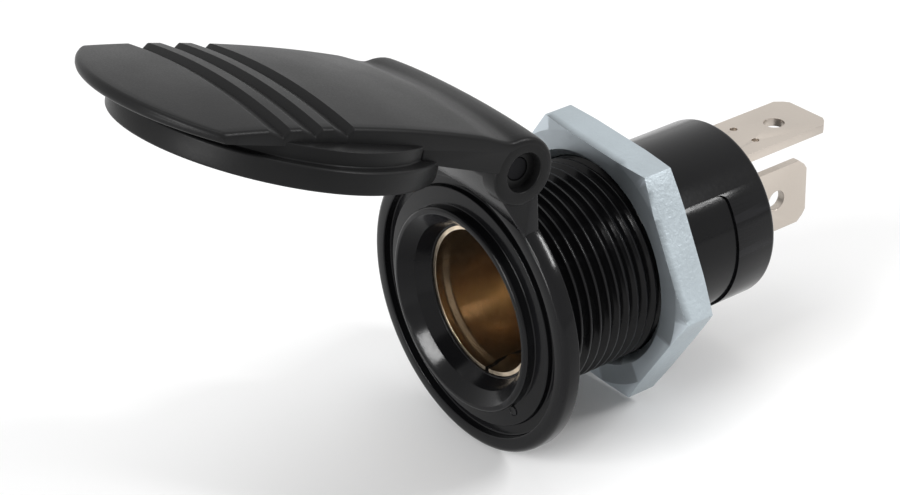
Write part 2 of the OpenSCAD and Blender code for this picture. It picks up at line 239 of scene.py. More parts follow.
class Finishes(Enum):
    """Every finish on the socket."""

    HOUSING = Finish("moulded_black_gloss", "housing_plastic", (0.0045, 0.0045, 0.005), 0.0, 0.15,
                     Grain(0.3, 0.003, 0.08, 0.4), edge=1.5, specular=0.14)
    LID = Finish("moulded_black_satin", "lid_plastic", (0.007, 0.007, 0.0072), 0.0, 0.36,
                 Grain(0.16, 0.006, 0.16, 0.5), edge=1.2, specular=0.11)
    NICKEL = Finish("nickel_sheet", "nickelled_brass", (0.6, 0.5, 0.38), 1.0, 0.2,
                    Grain(0.4, 0.002, 0.14, 0.15), edge=0.3, brushed=0.4)
    TIN = Finish("tinned_blade", "tinned_brass", (0.5, 0.45, 0.4), 1.0, 0.4,
                 Grain(0.3, 0.003, 0.14, 0.14), edge=0.15)
    BRASS = Finish("turned_brass", "contact_brass", (0.55, 0.42, 0.22), 1.0, 0.3,
                   Grain(0.3, 0.002, 0.12, 0.12))
    # The nut's flats and turned faces are one zinc plating in two colours: the flats are darker as
    # painted shade, and the faces are lighter as painted light.
    ZINC = Finish("zinc_plate", "zinc_steel", (0.2, 0.225, 0.24), 0.75, 0.44,
                  Grain(0.36, 0.05, 0.3, 0.7), edge=1.0)
    ZINC_FACE_PAINTED_LIT = Finish("zinc_plate_turned_painted_lit", "zinc_steel", (0.38, 0.42, 0.45), 0.8, 0.42,
                       Grain(0.5, 0.01, 0.16, 0.2), edge=0.6)
    PIN = Finish("dark_pin", "pin_steel", (0.012, 0.012, 0.013), 1.0, 0.45,
                 Grain(0.2, 0.003, 0.1, 0.2))
    FIBRE = Finish("pressed_fibre", "fibre", (0.1, 0.06, 0.035), 0.0, 0.7,
                   Grain(0.15, 0.02, 0.1, 0.5), specular=0.2)


class Workpiece:
    """A mesh on the bench, cut and turned by bmesh operators in millimetres."""

    arc_steps = 4
    weld = 0.0005

    def __init__(self) -> None:
        """Start with nothing."""
        self.bm = bmesh.new()

    def outline(self, corners: Sequence[Corner],
                place: Callable[[float, float], Vector]) -> bmesh.types.BMFace:
        """Make one flat face and round its corners.

        Args:
            corners: First and second coordinate of each corner, and its rounding's radius.
            place: Turns the two coordinates into a point.

        Returns:
            The rounded face.
        """
        verts = [self.bm.verts.new(place(a, b)) for a, b, _ in corners]
        face = self.bm.faces.new(verts)
        plan = []
        for i, vert in enumerate(verts):
            radius = corners[i][2]
            if radius > 0:
                before = (verts[i - 1].co - vert.co).normalized()
                after = (verts[(i + 1) % len(verts)].co - vert.co).normalized()
                half = before.angle(after) / 2
                plan.append((vert, radius / math.tan(half)))
        for vert, reach in plan:
            bmesh.ops.bevel(
                self.bm, geom=[vert], offset=reach, offset_type="OFFSET", segments=self.arc_steps,
                profile=0.5, affect="VERTICES", clamp_overlap=False, material=-1,
            )
        self.bm.faces.ensure_lookup_table()
        return self.bm.faces[-1] if face not in self.bm.faces else face

    def turn(self, corners: Sequence[Corner], axis: Axis, steps: int = 128, start: float = 0.0,
             span: float = 360.0) -> None:
        """Turn a closed section about an axis.

        Args:
            corners: Radius, height along the axis and rounding of each corner.
            axis: The axis through the origin.
            steps: Number of steps in the whole turn.
            start: First angle in degrees.
            span: Angle that is turned, in degrees.
        """
        along = Vector(axis.value)
        out = Vector((1.0, 0.0, 0.0))
        known = set(self.bm.faces)
        self.outline(corners, lambda r, h: out * r + along * h)
        fresh = [f for f in self.bm.faces if f not in known]
        edges = list({e for f in fresh for e in f.edges})
        verts = list({v for f in fresh for v in f.verts})
        bmesh.ops.rotate(self.bm, verts=verts, cent=(0, 0, 0),
                         matrix=Matrix.Rotation(math.radians(start), 3, along))
        whole = span >= 360.0
        if whole:
            bmesh.ops.delete(self.bm, geom=fresh, context="FACES_ONLY")
        bmesh.ops.spin(
            self.bm, geom=edges + verts + ([] if whole else fresh), cent=(0, 0, 0), axis=along,
            angle=math.radians(span), steps=steps, use_merge=whole,
        )
        self.close()

    def prism(self, corners: Sequence[Corner], low: float, high: float) -> list[bmesh.types.BMFace]:
        """Thicken an outline in the YZ plane along X.

        Args:
            corners: Y, Z and rounding of each corner.
            low: Lower X.
            high: Upper X.

        Returns:
            The faces that were made.
        """
        known = set(self.bm.faces)
        face = self.outline(corners, lambda y, z: Vector((low, y, z)))
        grown = bmesh.ops.extrude_face_region(self.bm, geom=[face], use_keep_orig=True)
        moved = [g for g in grown["geom"] if isinstance(g, bmesh.types.BMVert)]
        bmesh.ops.translate(self.bm, verts=moved, vec=(high - low, 0, 0))
        made = [f for f in self.bm.faces if f not in known]
        bmesh.ops.recalc_face_normals(self.bm, faces=made)
        return made

    def soften(self, faces: Iterable[bmesh.types.BMFace], width: float, angle: float = 40.0,
               segments: int = 3) -> None:
        """Bevel the sharp edges of some faces.

        Args:
            faces: The faces whose edges are looked at.
            width: Width of the bevel.
            angle: Only edges that turn by more than this many degrees are bevelled.
            segments: Segments across the bevel.
        """
        limit = math.radians(angle)
        edges = [e for e in {e for f in faces for e in f.edges}
                 if len(e.link_faces) == 2 and e.calc_face_angle(0.0) > limit]
        bmesh.ops.bevel(
            self.bm, geom=edges, offset=width, offset_type="OFFSET", segments=segments,
            profile=0.5, affect="EDGES", clamp_overlap=True, material=-1,
        )

    def close(self) -> None:
        """Merge doubles and point every face outwards."""
        bmesh.ops.remove_doubles(self.bm, verts=self.bm.verts, dist=self.weld)
        bmesh.ops.dissolve_degenerate(self.bm, edges=self.bm.edges, dist=self.weld)
        bmesh.ops.recalc_face_normals(self.bm, faces=self.bm.faces)

    def add_mesh(self, other: "Workpiece") -> None:
        """Take over the mesh of another workpiece."""
        spare = bpy.data.meshes.new("spare")
        other.bm.to_mesh(spare)
        self.bm.from_mesh(spare)
        bpy.data.meshes.remove(spare)
        other.bm.free()

    def place(self, matrix: Matrix) -> None:
        """Move the whole mesh by a matrix in millimetres."""
        bmesh.ops.transform(self.bm, matrix=matrix, verts=self.bm.verts)

    def finish(self, name: str, smooth: float = 35.0) -> bpy.types.Object:
        """Turn the mesh into a linked object in metres.

        Args:
            name: The object's name.
            smooth: Edges that turn by less than this many degrees are shaded smooth.

        Returns:
            The new object.
        """
        bmesh.ops.scale(self.bm, vec=(MM, MM, MM), verts=self.bm.verts)
        mesh = bpy.data.meshes.new(name)
        self.bm.to_mesh(mesh)
        self.bm.free()
        mesh.shade_smooth()
        mesh.set_sharp_from_angle(angle=math.radians(smooth))
        made = bpy.data.objects.new(name, mesh)
        bpy.context.collection.objects.link(made)
        return made


@dataclass(frozen=True)
class Softened:
    """A solid that keeps its shape and gets softer edges.

    Args:
        node: Name of the solid.
        name: Name of the new piece.
        finish: Its finish.
        edge: Width of its edge bevel in millimetres.
    """

    node: str
    name: str
    finish: Finishes
    edge: float


class Assembly:
    """Base of the sub-assemblies: dresses pieces and puts them on their bodies."""

    body: Body = Body.SOCKET
    effects: Effects

    def dress(self, piece: bpy.types.Object, finish: Finishes, *nodes: str) -> bpy.types.Object:
        """Give a piece its finish and body, and hide the solids that it stands for.

        Args:
            piece: The object.
            finish: Its finish.
            nodes: Names of the solids that it replaces.

        Returns:
            The same object.
        """
        piece.data.materials.clear()
        piece.data.materials.append(finish.value.material(self.effects))
        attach(piece, self.body.value)
        if nodes:
            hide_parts(*nodes)
        LOG.info("%s: %d faces, on %s", piece.name, len(piece.data.polygons), self.body.value)
        return piece

    def carve(self, piece: bpy.types.Object, cutter: bpy.types.Object) -> None:
        """Cut one piece out of another for good, and remove the cutter.

        Args:
            piece: The piece that loses material.
            cutter: What is taken away.
        """
        cut = piece.modifiers.new("cut", "BOOLEAN")
        cut.object, cut.operation, cut.solver = cutter, "DIFFERENCE", "EXACT"
        bpy.context.view_layer.update()
        carved = piece.evaluated_get(bpy.context.evaluated_depsgraph_get())
        solved = bpy.data.meshes.new_from_object(carved)
        piece.modifiers.clear()
        piece.data = solved
        bpy.data.objects.remove(cutter)
        solved.shade_smooth()
        solved.set_sharp_from_angle(angle=math.radians(35))

    def soften_solids(self, *solids: Softened) -> None:
        """Copy some solids' meshes, merge them, soften their edges and dress them.

        Args:
            solids: What to copy, and how.
        """
        for solid in solids:
            self.dress(self.refined(solid), solid.finish, solid.node)

    def refined(self, solid: Softened) -> bpy.types.Object:
        """Copy one solid's mesh with softer edges.

        Args:
            solid: What to copy.

        Returns:
            The new object.
        """
        work = Workpiece()
        work.bm.from_mesh(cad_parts[solid.node].data)
        bmesh.ops.scale(work.bm, vec=(1 / MM,) * 3, verts=work.bm.verts)
        bmesh.ops.remove_doubles(work.bm, verts=work.bm.verts, dist=0.001)
        bmesh.ops.dissolve_limit(
            work.bm, angle_limit=math.radians(0.5), verts=work.bm.verts, edges=work.bm.edges,
        )
        piece = work.finish(solid.name)
        bevel = piece.modifiers.new("edge", "BEVEL")
        bevel.width = solid.edge * MM
        bevel.segments = 2
        bevel.limit_method = "ANGLE"
        bevel.angle_limit = math.radians(40)
        bevel.harden_normals = True
        return piece


@dataclass
class Barrel(Assembly):
    """The housing: flange, collar, thread, rear body and hinge lug."""

    effects: Effects
    flange_r: float = 12.95
    flange_t: float = 1.6
    groove: Point = (10.55, 11.55)
    groove_deep: float = 0.75
    land_deep: float = 0.2
    collar: Point = (8.2, 9.0)
    lug_clear: tuple[Point, ...] = ((13.05, -1.5), (12.2, 0.3))
    collar_front: float = 2.43
    crest_r: float = 9.0
    root_r: float = 8.39
    pitch: float = 1.0
    crest_flat: float = 0.16
    thread_steps: int = 96
    thread: Point = (1.0, 16.0)
    rear_r: float = 8.1
    rear_y: float = 26.0
    shell_r: float = 7.15
    shell_y: float = 20.2
    seat_r: float = 6.7
    seat: Point = (-0.05, 0.9)
    seat_taper: float = 1.25
    throat: Point = (7.4, -1.4)
    barrel_r: float = 6.5
    recess: Point = (16.9, 21.7)
    recess_top: float = 40.0
    recess_span: float = 120.0
    recess_deep: float = 0.2
    recess_corner: float = 0.8
    recess_facets: int = 48
    hinge: Point = HINGE
    lug_half: float = 8.0
    lug_edge: float = 0.18
    knuckle_r: float = 2.1
    mark: Point = (5.92, -7.31)
    mark_r: float = 0.45

    def shell(self) -> Workpiece:
        """The turned body without its thread.

        Returns:
            The mesh in millimetres.
        """
        front = -self.flange_t
        land, floor = front + self.land_deep, front + self.groove_deep
        work = Workpiece()
        work.turn([
            (self.collar[0], -self.collar_front + 0.25, 0.1),
            (self.collar[0] + 0.25, -self.collar_front, 0.08),
            (self.collar[1], -self.collar_front, 0.3),
            (self.collar[1] - 0.02, land, 0.12),
            (self.groove[0], land, 0.1),
            (self.groove[0], floor, 0.15),
            (self.groove[1], floor, 0.15),
            (self.groove[1], front, 0.12),
            (self.flange_r, front, 0.55),
            (self.flange_r, 0.0, 0.12),
            (self.crest_r, 0.0, 0.05),
            (self.crest_r, self.thread[0], 0.1),
            (self.root_r, self.thread[0] + 0.1, 0.0),
            (self.root_r, self.thread[1] - 0.1, 0.0),
            (self.rear_r, self.thread[1] + 0.1, 0.1),
            (self.rear_r, self.rear_y, 0.45),
            (self.shell_r, self.rear_y, 0.12),
            (self.shell_r, self.shell_y, 0.0),
            (self.barrel_r, self.shell_y, 0.0),
            (self.barrel_r, self.seat_taper, 0.0),
            (self.seat_r, self.seat[1], 0.0),
            (self.seat_r, self.seat[0], 0.0),
            (self.seat_r + 0.12, self.seat[0], 0.05),
            (*self.throat, 0.15),
        ], Axis.BARREL, steps=160)
        return work

    def thread_ridge(self) -> Workpiece:
        """The thread as one right-hand helix that fades out at both ends.

        Returns:
            The mesh in millimetres.
        """
        turns = round((self.thread[1] - self.thread[0]) / self.pitch) - 1
        per_turn, flat = self.thread_steps, self.crest_flat * self.pitch / 2
        half = self.pitch / 2
        work = Workpiece()
        section = [
            (self.root_r - 0.05, 0.0), (self.root_r, 0.07), (self.crest_r - 0.04, half - flat - 0.03),
            (self.crest_r, half - flat + 0.01), (self.crest_r, half + flat - 0.01),
            (self.crest_r - 0.04, half + flat + 0.03), (self.root_r, self.pitch - 0.07),
            (self.root_r - 0.05, self.pitch),
        ]
        verts = [work.bm.verts.new((r, self.thread[0] + y, 0.0)) for r, y in section]
        edges = [work.bm.edges.new(pair) for pair in zip(verts, verts[1:])]
        bmesh.ops.spin(
            work.bm, geom=verts + edges, cent=(0, 0, 0), axis=(0, 1, 0),
            dvec=(0, self.pitch / per_turn, 0), angle=math.tau * turns, steps=per_turn * turns,
        )
        total = turns * self.pitch
        for vert in work.bm.verts:
            reach = math.hypot(vert.co.x, vert.co.z)
            turned = math.atan2(-vert.co.z, vert.co.x) % math.tau / math.tau
            run = round((vert.co.y - self.thread[0] - half) / self.pitch - turned) + turned
            end = min(run, turns - run) * self.pitch
            fade = max(0.0, min(1.0, end / (0.3 * self.pitch)))
            if reach > self.root_r and end < total:
                wanted = self.root_r - 0.02 + (reach - self.root_r + 0.02) * fade
                vert.co.x *= wanted / reach
                vert.co.z *= wanted / reach
        work.close()
        return work

    def recess_cutter(self) -> bpy.types.Object:
        """A bent slab with round corners, as deep as the side recess.

        Returns:
            The cutter's object.
        """
        work = Workpiece()
        mid = (self.recess[0] + self.recess[1]) / 2
        half_y = (self.recess[1] - self.recess[0]) / 2
        half_a = math.radians(self.recess_span / 2) * self.rear_r
        floor = self.rear_r - self.recess_deep
        face = work.outline(
            [(a * half_a, y * half_y, self.recess_corner)
             for a, y in ((-1, -1), (1, -1), (1, 1), (-1, 1))],
            lambda a, y: Vector((floor, y + mid, a)),
        )
        grown = bmesh.ops.extrude_face_region(work.bm, geom=[face], use_keep_orig=True)
        moved = [g for g in grown["geom"] if isinstance(g, bmesh.types.BMVert)]
        bmesh.ops.translate(work.bm, verts=moved, vec=(2.0, 0, 0))
        for i in range(1, self.recess_facets):
            at = -half_a + 2 * half_a * i / self.recess_facets
            bmesh.ops.bisect_plane(
                work.bm, geom=work.bm.verts[:] + work.bm.edges[:] + work.bm.faces[:],
                plane_co=(0, 0, at), plane_no=(0, 0, 1), dist=1e-5,
            )
        centre = math.radians(self.recess_top - self.recess_span / 2)
        for vert in work.bm.verts:
            angle = centre + vert.co.z / self.rear_r
            radius = vert.co.x
            vert.co.x, vert.co.z = radius * math.cos(angle), radius * math.sin(angle)
        work.close()
        return work.finish("recess_cutter")

    def lug(self) -> Workpiece:
        """The hinge lug with its round knuckle.

        Returns:
            The mesh in millimetres.
        """
        y, z = self.hinge
        front, back, foot = -self.flange_t, -0.02, z - 7.97
        knuckle, arc = self.knuckle_r, self.knuckle_r - 0.05
        work = Workpiece()
        faces = work.prism([
            (front, foot, 0.0), (front, z - 6.7, 0.4), (y - 0.65, z - 3.2, 0.8),
            (y - 2.02, z - 0.6, 1.0), (y - knuckle, z + knuckle, arc),
            (y + knuckle, z + knuckle, arc), (y + knuckle, z - 0.85, 0.6),
            (back, z - 1.08, 0.4), (back, foot, 0.0),
        ], -self.lug_half, self.lug_half)
        work.soften(faces, self.lug_edge)
        return work

    def lug_cutter(self) -> Workpiece:
        """The turned room that keeps the flange's groove open across the lug's foot.

        Returns:
            The mesh in millimetres.
        """
        (wide, front), (narrow, back) = self.lug_clear
        work = Workpiece()
        work.turn([
            (0.0, -12.0, 0.0), (wide, -12.0, 0.0), (wide, front, 0.0), (narrow, front, 0.0),
            (narrow, back, 0.0), (0.0, back, 0.0),
        ], Axis.BARREL, steps=120)
        return work

    def ejector_mark(self) -> Workpiece:
        """The small round mark that the mould's ejector leaves beside the collar.

        Returns:
            The mesh in millimetres.
        """
        land = self.land_deep - self.flange_t
        work = Workpiece()
        work.turn([
            (0.0, land - 0.03, 0.0), (self.mark_r - 0.1, land - 0.03, 0.04),
            (self.mark_r - 0.04, land - 0.09, 0.03), (self.mark_r, land - 0.09, 0.03),
            (self.mark_r, land + 0.1, 0.0), (0.0, land + 0.1, 0.0),
        ], Axis.BARREL, steps=40)
        work.place(Matrix.Translation((self.mark[0], 0, self.mark[1])))
        return work

    def build(self) -> None:
        """Make the housing's pieces."""
        body = self.shell().finish("barrel_body")
        self.carve(body, self.recess_cutter())
        self.dress(body, Finishes.HOUSING, "housing")
        self.dress(self.thread_ridge().finish("barrel_thread", smooth=50.0), Finishes.HOUSING)
        lug = self.lug().finish("hinge_lug")
        self.carve(lug, self.lug_cutter().finish("lug_cutter"))
        self.dress(lug, Finishes.HOUSING)
        self.dress(self.ejector_mark().finish("ejector_mark"), Finishes.HOUSING)


@dataclass
class Sleeve(Assembly):
    """The rolled contact sleeve with its seam and spring tongues."""

    effects: Effects
    mouth_r: float = 6.3
    bore_r: float = 6.1
    nip_r: float = 5.6
    sheet: float = 0.35
    rim_y: float = 0.05
    mouth_y: float = 0.9
    taper_y: float = 1.25
    nip_y: float = 17.1
    base_y: float = 19.9
    base_hole_r: float = 3.5
    tongue: Point = (3.4, 9.5)
    tongues: Point = (120.0, -44.0)
    tongue_half: float = 12.0
    slot_turn: float = 3.0
    slot_end: float = 0.35
    tongue_lift: float = 0.42
    seam_x: float = 0.5
    curl: float = 0.34
    curl_at: float = 2.3
    curl_wide: float = 0.75
    seam_cells: int = 2
    cells: int = 160
    edge: float = 0.06

    def from_tongues(self, spot: Vector) -> list[float]:
        """Angle in degrees between a spot and the middle of each tongue."""
        angle = math.degrees(math.atan2(spot.x, spot.z))
        return [abs((angle - tongue + 180.0) % 360.0 - 180.0) for tongue in self.tongues]

    def rolled(self) -> Workpiece:
        """The inner skin, rolled up cell by cell and then given its sheet thickness.

        Returns:
            The mesh in millimetres.
        """
        low, high = self.tongue
        free = low + self.slot_end
        rows = [(self.mouth_r, y) for y in (self.rim_y, self.rim_y + 0.5, self.mouth_y)]
        rows += [(self.bore_r, self.taper_y + 0.27 * i) for i in range(8)]
        rows += [(self.bore_r, low), (self.bore_r, free)]
        rows += [(self.bore_r, free + (high - free) * i / 6) for i in range(1, 7)]
        rows += [(self.bore_r, self.nip_y), (self.nip_r, self.nip_y + 0.5),
                 (self.nip_r, self.base_y + self.sheet)]
        work = Workpiece()
        step = math.tau / self.cells
        # The seam lies at the bottom, half a millimetre to the right.
        gap = math.atan2(self.seam_x, -self.mouth_r)
        start = gap + self.seam_cells * step / 2
        verts = [work.bm.verts.new((r * math.sin(start), y, r * math.cos(start))) for r, y in rows]
        edges = [work.bm.edges.new(pair) for pair in zip(verts, verts[1:])]
        turning = self.cells - self.seam_cells
        bmesh.ops.spin(work.bm, geom=verts + edges, cent=(0, 0, 0), axis=(0, 1, 0),
                       angle=step * turning, steps=turning)
        room = self.tongue_half + self.slot_turn
        gone = set()
        for face in work.bm.faces:
            centre = face.calc_center_median()
            if not low < centre.y < high:
                continue
            for away in self.from_tongues(centre):
                if away < room and (away > self.tongue_half or centre.y < free):
                    gone.add(face)
        bmesh.ops.delete(work.bm, geom=list(gone), context="FACES")
        for vert in work.bm.verts:
            angle = math.degrees(math.atan2(vert.co.x, vert.co.z))
            push = 0.0
            for away in self.from_tongues(vert.co):
                if away < self.tongue_half + 0.2 and free - 0.05 < vert.co.y < high - 0.05:
                    along = (high - vert.co.y) / (high - free)
                    push = self.tongue_lift * math.sin(math.pi * min(1.0, along * 0.8)) ** 1.2
            # The sheet's edge is pressed up a little beside the seam, and its corners curl.
            beside = max(0.0, (angle % 360.0) - 150.0) / 20.0
            if beside <= 1.15 and vert.co.x > 0.6:
                near = (vert.co.y - self.curl_at) / self.curl_wide
                push += self.curl * beside ** 2 * math.exp(-(near ** 2))
            reach = math.hypot(vert.co.x, vert.co.z)
            vert.co.x *= (reach - push) / reach
            vert.co.z *= (reach - push) / reach
        bmesh.ops.recalc_face_normals(work.bm, faces=work.bm.faces)
        probe = work.bm.faces[:][0]
        centre = probe.calc_center_median()
        if probe.normal.dot(Vector((centre.x, 0, centre.z))) > 0:
            bmesh.ops.reverse_faces(work.bm, faces=work.bm.faces[:])
        bmesh.ops.solidify(work.bm, geom=work.bm.faces[:], thickness=self.sheet)
        return work

    def build(self) -> None:
        """Make the sleeve, its base and the contact behind it."""
        work = self.rolled()
        near, far = self.base_y, self.base_y + self.sheet
        inner, outer = self.base_hole_r, self.nip_r + 0.1
        base = Workpiece()
        base.turn([
            (inner, near, 0.0), (outer, near, 0.0), (outer, far, 0.0), (inner, far, 0.0),
        ], Axis.BARREL, steps=96)
        work.add_mesh(base)
        piece = work.finish("sleeve_rolled")
        edge = piece.modifiers.new("edge", "BEVEL")
        edge.width, edge.segments = self.edge * MM, 2
        edge.limit_method, edge.angle_limit = "ANGLE", math.radians(50)
        self.dress(piece, Finishes.NICKEL, "contact_sleeve")
        self.soften_solids(
            Softened("centre_contact", "contact_button", Finishes.BRASS, 0.08),
            Softened("insulating_bush", "bush_ring", Finishes.FIBRE, 0.1),
            Softened("rear_washer", "washer_disc", Finishes.FIBRE, 0.05),
        )


@dataclass
class Rear(Assembly):
    """The blades and the plug that holds them."""

    effects: Effects
    blade_edge: float = 0.07
    plug_edge: float = 0.1

    def build(self) -> None:
        """Make the rear pieces."""
        self.soften_solids(
            Softened("upper_terminal", "blade_upper", Finishes.TIN, self.blade_edge),
            Softened("lower_terminal", "blade_lower", Finishes.TIN, self.blade_edge),
            Softened("rear_plug", "plug_rear", Finishes.HOUSING, self.plug_edge),
        )


@dataclass
class Nut(Assembly):
    """The hexagonal nut, turned first and then cut on its six flats."""

    effects: Effects
    body: Body = Body.NUT
    flats: float = 22.2
    thick: float = 3.25
    at_y: float = 11.35
    bore_r: float = 9.06
    sink: float = 0.7
    face_r: float = 11.5
    slope: float = 0.17
    spare: float = 0.6
    edge: float = 0.12
    turned: float = 4.75

    def build(self) -> None:
        """Make the nut."""
        work = Workpiece()
        outer = self.flats / 2 / math.cos(math.radians(30)) + self.spare
        drop = self.slope * (outer - self.face_r)
        work.turn([
            (self.bore_r, self.sink, 0.0), (self.bore_r + self.sink, 0.0, 0.06),
            (self.face_r, 0.0, 0.1), (outer, drop, 0.0), (outer, self.thick - drop, 0.0),
            (self.face_r, self.thick, 0.1), (self.bore_r + self.sink, self.thick, 0.06),
            (self.bore_r, self.thick - self.sink, 0.0),
        ], Axis.BARREL, steps=240)
        for i in range(6):
            angle = math.radians(self.turned + 60 * i)
            side = Vector((math.sin(angle), 0, math.cos(angle)))
            cut = bmesh.ops.bisect_plane(
                work.bm, geom=work.bm.verts[:] + work.bm.edges[:] + work.bm.faces[:],
                plane_co=side * (self.flats / 2), plane_no=side, clear_outer=True, dist=1e-5,
            )
            rim = [g for g in cut["geom_cut"] if isinstance(g, bmesh.types.BMEdge)]
            bmesh.ops.holes_fill(work.bm, edges=rim, sides=0)
        work.close()
        work.soften(work.bm.faces[:], self.edge, angle=14.0)
        work.place(Matrix.Translation((0, self.at_y, 0)))
        piece = self.dress(work.finish("nut_hex", smooth=28.0), Finishes.ZINC, "hex_nut")
        piece.data.materials.append(Finishes.ZINC_FACE_PAINTED_LIT.value.material(self.effects))
        # The turned faces are smoother than the flats, and they get a lighter colour than the flats:
        # painted light on the faces and painted shade on the flats.
        for face in piece.data.polygons:
            face.material_index = int(abs(face.normal.y) > 0.8)


@dataclass
class Lid(Assembly):
    """The lid: crowned top with grooves, hinge barrel, cheeks and round skirt.

    Its own frame has x across, u from the hinge to the finger tip and n out of the top.
    """

    effects: Effects
    body: Body = Body.COVER
    opened: float = 109.7
    hinge: Point = HINGE
    half: float = 9.83
    centre_u: float = 16.87
    tip_at: float = 18.5
    tip_r: float = 14.0
    crown: float = 3.85
    crown_u: float = 14.4
    crown_r: float = 125.0
    cross_r: float = 65.0
    rim: float = 0.34
    low: float = 1.6
    boss_r: float = 2.8
    skin_r: float = 2.32
    ear: float = 8.2
    hole_r: float = 1.63
    hole_deep: float = 0.9
    bore_r: float = 1.0
    cheek_edge: float = 0.15
    hinge_rows: int = 10
    tip_rows: int = 10
    rim_steps: int = 4
    groove_at: tuple[float, ...] = (17.75, 20.55, 23.35)
    bow: float = 0.48
    bow_flat: float = 170.0
    barrel_end: float = 1.0
    panel_from: float = 5.0
    crease: float = 0.3
    under_arc: float = 0.91
    under_n: float = 2.19
    under_fall: float = 0.5415
    tip_rise: float = 0.4
    valley: float = 2.3
    valley_rise: float = 0.7
    groove_deep: float = 0.55
    groove_steep: float = 0.45
    groove_gentle: float = 1.36
    skirt: dict[str, float] = field(default_factory=lambda: {
        "outer": 12.64, "inner": 11.3, "step": 11.65, "core": 7.2,
        "low": -1.05, "top": 0.75, "ceiling": -0.1, "core_top": 1.5,
    })

    def frame(self) -> Matrix:
        """Matrix from the lid's own frame to the model's, in millimetres."""
        tilt = Matrix.Rotation(math.radians(90 - self.opened), 4, "X")
        turn = Matrix.Rotation(math.pi, 4, "Z")
        return Matrix.Translation((0, *self.hinge)) @ tilt @ turn

    def barrel(self, x: float) -> float:
        """Radius of the hinge barrel, which is bowed between the cheeks."""
        return self.boss_r + self.bow * max(0.0, 1.0 - (x / self.half) ** 2) ** 0.75

    def top(self, x: float, u: float) -> float:
        """Height of the top surface.

        Args:
            x: Place across.
            u: Place along.

        Returns:
            Height n over the hinge axis.
        """
        away = u - self.crown_u
        height = self.crown - away * away / (2 * self.crown_r) - x * x / (2 * self.cross_r)
        for at in self.groove_at:
            if at - self.groove_steep < u <= at:
                height -= self.groove_deep * (u - at + self.groove_steep) / self.groove_steep
            elif at < u < at + self.groove_gentle:
                height -= self.groove_deep * (1 - (u - at) / self.groove_gentle)
        share = (u - self.barrel_end) / (self.panel_from - self.barrel_end)
        share = min(1.0, max(0.0, share))
        share *= share * (3.0 - 2.0 * share)
        fall = math.sqrt(max(0.0, self.barrel(x) ** 2 - u * u))
        floor = self.valley + self.valley_rise * (1.0 - (x / self.half) ** 2)
        soft = self.crease * min(1.0, u / 1.2)
        round_part = (fall + floor + math.hypot(fall - floor, soft)) / 2
        return share * height + (1.0 - share) * round_part

    def under(self, u: float) -> float:
        """Height of the underside, which clears the knuckle and the lug near the hinge."""
        if u < self.under_arc:
            return math.sqrt(self.skin_r ** 2 - u * u)
        return max(self.low, self.under_n - (u - self.under_arc) * self.under_fall)

    def stations(self) -> list[float]:
        """Rows along the lid, close together where the surface turns."""
        rows = [0.3 * i for i in range(18)] + [5.6 + 1.0 * i for i in range(12)]
        steep, gentle = self.groove_steep, self.groove_gentle
        steps = (-steep - 0.06, -steep, 0.06 - steep, -0.07, -0.02, 0.06, 0.7,
                 gentle - 0.08, gentle, gentle + 0.08)
        for at in self.groove_at:
            rows += [at + step for step in steps]
        rows += [25.2, 26.0]
        return sorted(rows)

    def columns(self) -> list[Point]:
        """Places across the lid, each with the turn of the rim's rounding in radians."""
        flat = self.half - self.rim
        turns = [math.radians(90 * i / self.rim_steps) for i in range(1, self.rim_steps + 1)]
        outer = [(flat + self.rim * math.sin(t), t) for t in turns]
        inner = [(flat * i / 18, 0.0) for i in range(-18, 19)]
        return [(-x, t) for x, t in reversed(outer)] + inner + outer

    def panel(self) -> Workpiece:
        """The round skin over the hinge and the crowned top, as one slab with a rounded rim.

        Returns:
            The mesh in the lid's own frame.
        """
        columns, rows = self.columns(), self.stations()
        turns, blend = self.hinge_rows, self.tip_rows
        work = Workpiece()
        total = turns + len(rows) + blend + self.rim_steps
        bmesh.ops.create_grid(work.bm, x_segments=len(columns) - 1, y_segments=total - 1, size=0.5)
        below: dict[tuple[float, ...], Vector] = {}
        for vert in work.bm.verts:
            x, side = columns[round((vert.co.x + 0.5) * (len(columns) - 1))]
            row = round((vert.co.y + 0.5) * (total - 1)) - turns
            if row < 0:
                angle = math.radians(180 - 90 * (row + turns) / turns)
                u, n = math.cos(angle), math.sin(angle)
                level = self.boss_r / math.cos(angle - math.radians(self.bow_flat))
                out = min(self.barrel(x), level) - self.rim * (1 - math.cos(side))
                vert.co = Vector((x, u * out, n * out))
                beneath = Vector((x, u * self.skin_r, n * self.skin_r))
            else:
                edge, turn = self.tip_at + math.sqrt(self.tip_r ** 2 - x * x) - self.rim, 0.0
                step = row - len(rows) + 1
                if step <= 0:
                    u = rows[row]
                elif step <= blend:
                    u = rows[-1] + (edge - rows[-1]) * step / blend
                else:
                    turn = math.radians(90 * (step - blend) / self.rim_steps)
                    u = edge + self.rim * math.sin(turn)
                drop = self.rim * (1 - math.cos(side) * math.cos(turn))
                vert.co = Vector((x, u, self.top(x, u) - drop))
                rise = self.tip_rise * (1 - math.cos(turn))
                beneath = Vector((x, u, self.under(u) + rise))
            below[tuple(round(c, 5) for c in vert.co)] = beneath
        grown = bmesh.ops.extrude_face_region(work.bm, geom=work.bm.faces[:], use_keep_orig=True)
        for item in grown["geom"]:
            if isinstance(item, bmesh.types.BMVert):
                item.co = below[tuple(round(c, 5) for c in item.co)]
        bmesh.ops.recalc_face_normals(work.bm, faces=work.bm.faces[:])
        return work

    def bosses(self) -> Workpiece:
        """The two end bosses that the pin's ends lie in.

        Returns:
            The mesh in the lid's own frame.
        """
